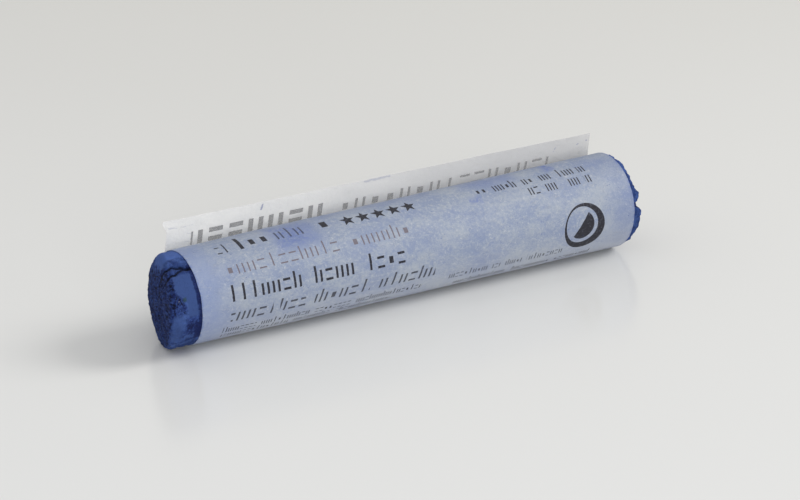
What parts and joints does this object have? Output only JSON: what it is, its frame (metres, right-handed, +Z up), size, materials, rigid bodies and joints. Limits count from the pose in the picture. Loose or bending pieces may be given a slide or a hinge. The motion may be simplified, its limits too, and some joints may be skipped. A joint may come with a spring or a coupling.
{
  "type": "soft pastel stick",
  "caption": "Round soft pastel stick, worn at one end and broken at the other, lying in a thin translucent paper wrapper whose outer edge has come unstuck and stands up.",
  "frame": {"origin": "on the surface that the part lies on, under the middle of the wrapper, at the middle of the wrapper's flat underside", "axes": "+X runs along the stick to its broken end, +Y to the back where the wrapper's loose edge stands up, +Z up"},
  "size_m": [0.0647, 0.012, 0.0137],
  "materials": {
    "pastel_stick": "matte dark blue pigment and chalk with a powdery grain",
    "paper_wrapper": "thin translucent tracing paper, dusted with blue pigment, with plain dark marks in place of print"
  },
  "bodies": {
    "root": {"pastel_stick": "pastel_stick", "paper_wrapper": "paper_wrapper"}
  },
  "joints": []
}
